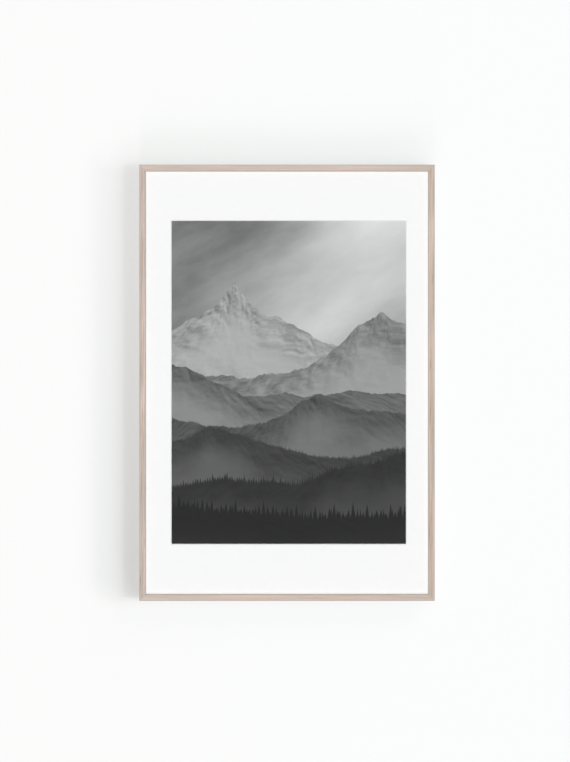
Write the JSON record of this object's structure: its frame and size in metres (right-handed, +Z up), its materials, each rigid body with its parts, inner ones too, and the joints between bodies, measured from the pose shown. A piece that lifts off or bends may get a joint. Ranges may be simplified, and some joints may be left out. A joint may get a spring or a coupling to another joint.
{
  "type": "framed wall print",
  "caption": "Upright mitred wooden frame for a wall, holding clear glazing, a white window mount and a greyscale print, with turn buttons and ring hangers behind.",
  "frame": {"origin": "on the face of the wall, midway between the two wall hooks that carry the hanger rings, 100 mm below the frame's top edge", "axes": "+Z up along the frame's long side, +X to the right as seen from the front, the picture faces -Y and the wall is at +Y"},
  "size_m": [0.63, 0.0245, 0.93],
  "materials": {
    "oak": "pale matt oak with fine grain along each rail",
    "glazing": "clear acrylic",
    "mount_board": "matt white card",
    "print_paper": "matt print in greys",
    "foam_core": "white foam board",
    "fibreboard": "brown fibreboard",
    "button_steel": "bright zinc plate",
    "hanger_steel": "nickel plate",
    "pad_rubber": "matt black rubber"
  },
  "bodies": {
    "frame": {"rail_left": "oak", "rail_top": "oak", "rail_right": "oak", "rail_bottom": "oak", "glazing": "glazing", "window_mount": "mount_board", "print_sheet": "print_paper", "foam_core": "foam_core", "backing_board": "fibreboard", "pivot_screw_left_1": "button_steel", "pivot_screw_left_2": "button_steel", "pivot_screw_left_3": "button_steel", "pivot_screw_top_1": "button_steel", "pivot_screw_top_2": "button_steel", "pivot_screw_right_1": "button_steel", "pivot_screw_right_2": "button_steel", "pivot_screw_right_3": "button_steel", "pivot_screw_bottom_1": "button_steel", "pivot_screw_bottom_2": "button_steel", "hanger_strap_left": "hanger_steel", "hanger_strap_right": "hanger_steel", "strap_screw_left": "hanger_steel", "strap_screw_right": "hanger_steel", "wall_pad_top_left": "pad_rubber", "wall_pad_top_right": "pad_rubber", "wall_pad_bottom_left": "pad_rubber", "wall_pad_bottom_right": "pad_rubber"},
    "button_left_1": {"turn_button_left_1": "button_steel"},
    "button_left_2": {"turn_button_left_2": "button_steel"},
    "button_left_3": {"turn_button_left_3": "button_steel"},
    "button_top_1": {"turn_button_top_1": "button_steel"},
    "button_top_2": {"turn_button_top_2": "button_steel"},
    "button_right_1": {"turn_button_right_1": "button_steel"},
    "button_right_2": {"turn_button_right_2": "button_steel"},
    "button_right_3": {"turn_button_right_3": "button_steel"},
    "button_bottom_1": {"turn_button_bottom_1": "button_steel"},
    "button_bottom_2": {"turn_button_bottom_2": "button_steel"},
    "ring_left": {"hanger_ring_left": "hanger_steel"},
    "ring_right": {"hanger_ring_right": "hanger_steel"}
  },
  "joints": [
    {"name": "turn_left_1", "type": "hinge", "parent": "frame", "child": "button_left_1", "pos_m": [-0.31, -0.0036, -0.645], "axis": [0, 1, 0], "continuous": true},
    {"name": "turn_left_2", "type": "hinge", "parent": "frame", "child": "button_left_2", "pos_m": [-0.31, -0.0036, -0.365], "axis": [0, 1, 0], "continuous": true},
    {"name": "turn_left_3", "type": "hinge", "parent": "frame", "child": "button_left_3", "pos_m": [-0.31, -0.0036, -0.085], "axis": [0, 1, 0], "continuous": true},
    {"name": "turn_top_1", "type": "hinge", "parent": "frame", "child": "button_top_1", "pos_m": [-0.15, -0.0036, 0.095], "axis": [0, 1, 0], "continuous": true},
    {"name": "turn_top_2", "type": "hinge", "parent": "frame", "child": "button_top_2", "pos_m": [0.15, -0.0036, 0.095], "axis": [0, 1, 0], "continuous": true},
    {"name": "turn_right_1", "type": "hinge", "parent": "frame", "child": "button_right_1", "pos_m": [0.31, -0.0036, -0.085], "axis": [0, 1, 0], "continuous": true},
    {"name": "turn_right_2", "type": "hinge", "parent": "frame", "child": "button_right_2", "pos_m": [0.31, -0.0036, -0.365], "axis": [0, 1, 0], "continuous": true},
    {"name": "turn_right_3", "type": "hinge", "parent": "frame", "child": "button_right_3", "pos_m": [0.31, -0.0036, -0.645], "axis": [0, 1, 0], "continuous": true},
    {"name": "turn_bottom_1", "type": "hinge", "parent": "frame", "child": "button_bottom_1", "pos_m": [0.15, -0.0036, -0.825], "axis": [0, 1, 0], "continuous": true},
    {"name": "turn_bottom_2", "type": "hinge", "parent": "frame", "child": "button_bottom_2", "pos_m": [-0.15, -0.0036, -0.825], "axis": [0, 1, 0], "continuous": true},
    {"name": "swing_ring_left", "type": "hinge", "parent": "frame", "child": "ring_left", "pos_m": [-0.3088, -0.0023, -0.00905], "axis": [-1, 0, 0], "range_deg": [0, 180]},
    {"name": "swing_ring_right", "type": "hinge", "parent": "frame", "child": "ring_right", "pos_m": [0.3088, -0.0023, -0.00905], "axis": [-1, 0, 0], "range_deg": [0, 180]}
  ]
}
